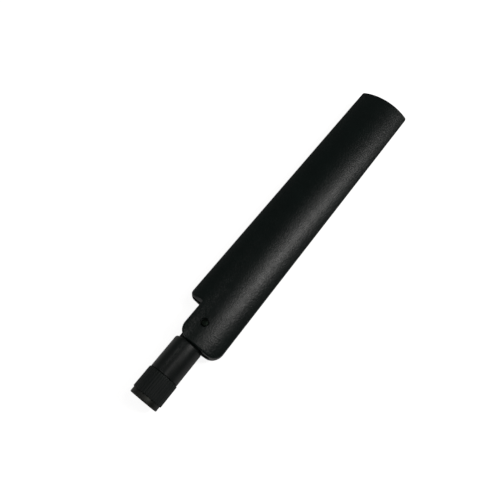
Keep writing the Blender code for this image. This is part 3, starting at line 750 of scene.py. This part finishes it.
def make_nut_thread():
    """The female thread in the nut's bore, whose ridge fades in and out at its ends."""
    pitch, height = 0.907 * MM, 0.42 * MM
    columns, samples = 96, 8  # round the bore, and along one pitch
    steepness, fade_length = 2.4, 0.6 * pitch
    root = NUT_BORE + 0.01 * MM
    start, end = NUT_FOOT + 0.45 * MM, NUT_FOOT + 7.0 * MM
    rows = round((end - start) / pitch * samples)
    bm = bmesh.new()
    rings = []
    for j in range(rows + 1):
        y = start + (end - start) * j / rows
        fade = min(1, (y - start) / fade_length, (end - y) / fade_length)
        radii = []
        for i in range(columns):
            phase = (y / pitch + i / columns) % 1
            ridge = min(1, steepness * (1 - abs(2 * phase - 1)))
            radii.append(root - height * fade * ridge)
        rings.append(ring(bm, y, radii))
    join_rings(bm, rings)
    bmesh.ops.recalc_face_normals(bm, faces=bm.faces)
    bmesh.ops.reverse_faces(bm, faces=bm.faces)
    add_piece("nut_thread", bm, "nut", BLACK_NICKEL)


def make_plug_body():
    """The nickel body: a neck for the cable, a shank in the barrel, a flange, and a sleeve in the nut."""
    neck, neck_bore, neck_top = 1.7 * MM, 0.75 * MM, NUT_FOOT + 21 * MM
    shank, shank_bore, shank_top = 4.0 * MM, 3.0 * MM, NUT_FOOT + 17.5 * MM
    flange, flange_low, flange_high = 5.2 * MM, NUT_FOOT + 8.0 * MM, NUT_FOOT + 9.6 * MM
    sleeve, sleeve_bore, sleeve_foot = 4.05 * MM, 3.3 * MM, NUT_FOOT + 2.6 * MM
    seat = NUT_FOOT + 7.0 * MM
    profile = [
        (neck_bore, neck_top),
        (neck, neck_top),
        (neck, shank_top),
        (shank, shank_top),
        (shank, flange_high),
        (flange, flange_high),
        (flange, flange_low),
        (sleeve, flange_low),
        (sleeve, sleeve_foot + 0.25 * MM),
        (sleeve - 0.25 * MM, sleeve_foot),
        (sleeve_bore + 0.1 * MM, sleeve_foot),
        (sleeve_bore, sleeve_foot + 0.1 * MM),
        (sleeve_bore, seat),
        (shank_bore, seat),
        (shank_bore, NUT_FOOT + 16.6 * MM),
    ]
    body = lathe(soften(profile, 0.08 * MM), 96)
    add_piece("plug_body", body, "connector", NICKEL, ["connector_body"])


def make_plug_core():
    """The PTFE insulator, whose narrower nose stands out round the contact."""
    core, nose, bore = 2.9 * MM, 1.9 * MM, 0.77 * MM
    shoulder, nose_foot = NUT_FOOT + 7.1 * MM, NUT_FOOT + 4.6 * MM
    profile = [
        (core, NUT_FOOT + 16.5 * MM),
        (core, shoulder),
        (nose, shoulder),
        (nose, nose_foot),
        (bore, nose_foot),
        (bore, NUT_FOOT + 9 * MM),
    ]
    bm = lathe(soften(profile, 0.12 * MM), 72)
    add_piece("plug_core", bm, "connector", PTFE, ["contact_insulator"])


def make_plug_pin():
    """The gold contact, with a tapered tip and a thinner tail in the insulator."""
    tip, tail_foot, tail_top = NUT_FOOT + 3.15 * MM, NUT_FOOT + 12 * MM, NUT_FOOT + 16.5 * MM
    pin, tail = 0.67 * MM, 0.55 * MM
    profile = [
        (0, tip),
        (0.28 * MM, tip),
        (0.62 * MM, tip + 0.75 * MM),
        (pin, tip + 1.1 * MM),
        (pin, tail_foot),
        (tail, tail_foot),
        (tail, tail_top),
        (0, tail_top),
    ]
    bm = lathe(soften(profile, 0.12 * MM), 40)
    add_piece("plug_pin", bm, "connector", GOLD, ["center_contact"])


def make_gasket():
    """The red sealing ring in the nut."""
    low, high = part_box("seal_gasket")
    outer, inner = high.x, 4.15 * MM
    profile = [(inner, high.y), (outer, high.y), (outer, low.y), (inner, low.y), (inner, high.y)]
    add_piece("gasket", lathe(soften(profile, 0.2 * MM), 72), "nut", SILICONE, ["seal_gasket"])


# ---------------------------------------------------------------- CAD nodes that stay

KEPT = {
    "friction_washer_front": SPRING_STEEL,
    "friction_washer_rear": SPRING_STEEL,
    "swivel_clip": SPRING_STEEL,
    "nut_retaining_ring": SPRING_STEEL,
    "swivel_o_ring": RUBBER,
    "crimp_ferrule": NICKEL,
    "heat_shrink": HEAT_SHRINK,
    "cable_choke": FERRITE,
    "antenna_board": BOARD,
    "upper_radiator": COPPER,
    "lower_radiator": COPPER,
    "coax_center_wire": COPPER,
    "braid_solder": SOLDER,
    "core_solder": SOLDER,
    "foam_pad_front_lower": FOAM,
    "foam_pad_front_upper": FOAM,
    "foam_pad_rear_lower": FOAM,
    "foam_pad_rear_upper": FOAM,
}


def finish_kept_nodes():
    for name, material in KEPT.items():
        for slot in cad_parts[name].material_slots:
            slot.material = material


# ---------------------------------------------------------------- floor, light and camera


FLOOR_GLOW = 0.86  # of the floor and the world behind it, to the camera alone
FLOOR_FILL = 0.07  # of the floor, to everything else
WORLD_FILL = 0.057  # of the world, to everything else
FLOOR_HALF_SIZE = 4.0


def make_floor():
    """Pale paper to the camera, and a dimmer floor to the antenna, so that its sides stay dark."""
    nodes = Nodes("floor_paper")
    tone = nodes.spread(nodes.noise(30), 0, 1)
    nodes.set(base_color=nodes.blend(tone, (0.80, 0.80, 0.80), (0.81, 0.81, 0.81)))
    nodes.set(roughness=0.9, specular_ior_level=0.1)
    seen = nodes.add("ShaderNodeLightPath").outputs["Is Camera Ray"]
    glow = nodes.spread(seen, FLOOR_FILL, FLOOR_GLOW, 0, 1)
    nodes.set(emission_color=(1, 1, 1), emission_strength=glow)
    bm = bmesh.new()
    bmesh.ops.create_grid(bm, x_segments=1, y_segments=1, size=FLOOR_HALF_SIZE)
    floor = new_object("floor", bm, nodes.material)
    shade(floor)


# round soft lights: azimuth from +X towards +Y and elevation, in degrees, and watts
LIGHTS = {
    "key_low": (50, 38, 0.20),
    "key_middle": (50, 46, 0.44),
    "key_high": (30, 54, 0.93),
    "key_top": (30, 70, 0.19),
    "key_far": (70, 62, 0.15),
    "top": (315, 75, 0.24),
    "left": (180, 60, 0.19),
    "foot_rim": (225, 20, 0.66),
}
LIGHT_DISTANCE = 0.9
LIGHT_SIZE = 0.13  # across
LIGHT_COLOUR = (1.0, 0.975, 0.96)


def make_lights():
    for name, (azimuth, elevation, power) in LIGHTS.items():
        data = bpy.data.lights.new(name, "AREA")
        data.shape = "DISK"
        data.size = LIGHT_SIZE
        data.energy = power
        data.color = LIGHT_COLOUR
        obj = bpy.data.objects.new(name, data)
        turn, rise = radians(azimuth), radians(elevation)
        direction = Vector((cos(turn) * cos(rise), sin(turn) * cos(rise), sin(rise)))
        obj.location = direction * LIGHT_DISTANCE
        obj.rotation_euler = (-obj.location).to_track_quat("-Z", "Y").to_euler()
        obj.visible_camera = False
        bpy.context.scene.collection.objects.link(obj)


def make_world():
    """As pale to the camera as the far end of the floor, and a dim even fill to everything else."""
    world = bpy.data.worlds.new("studio")
    bpy.context.scene.world = world
    world.use_nodes = True
    tree = world.node_tree
    fill = tree.nodes["Background"]
    pale = tree.nodes.new("ShaderNodeBackground")
    for background, strength in ((fill, WORLD_FILL), (pale, FLOOR_GLOW)):
        background.inputs["Color"].default_value = (1, 1, 1, 1)
        background.inputs["Strength"].default_value = strength
    path = tree.nodes.new("ShaderNodeLightPath")
    mix = tree.nodes.new("ShaderNodeMixShader")
    tree.links.new(path.outputs["Is Camera Ray"], mix.inputs["Fac"])
    tree.links.new(fill.outputs["Background"], mix.inputs[1])
    tree.links.new(pale.outputs["Background"], mix.inputs[2])
    tree.links.new(mix.outputs["Shader"], tree.nodes["World Output"].inputs["Surface"])


def make_camera():
    """A close wide view from over the connector's right side, a little rolled."""
    location = Vector((33.32, -103.54, 212.96)) * MM
    target = Vector((-6.25, -18.62, 7.25)) * MM
    roll = Matrix.Rotation(radians(12.82), 4, "Z")
    data = bpy.data.cameras.new("camera")
    data.sensor_width = 36
    data.lens = 34.31
    data.clip_start = 0.01
    camera = bpy.data.objects.new("camera", data)
    look = (target - location).to_track_quat("-Z", "Y").to_matrix().to_4x4()
    camera.matrix_world = Matrix.Translation(location) @ look @ roll
    bpy.context.scene.collection.objects.link(camera)
    bpy.context.scene.camera = camera


make_blade()
make_pins()
make_barrel()
make_knuckle()
make_coax()
make_grip()
make_nut()
make_nut_thread()
make_plug_body()
make_plug_core()
make_plug_pin()
make_gasket()
finish_kept_nodes()
make_floor()
make_world()
make_lights()
make_camera()
bpy.context.scene.view_settings.view_transform = "Standard"
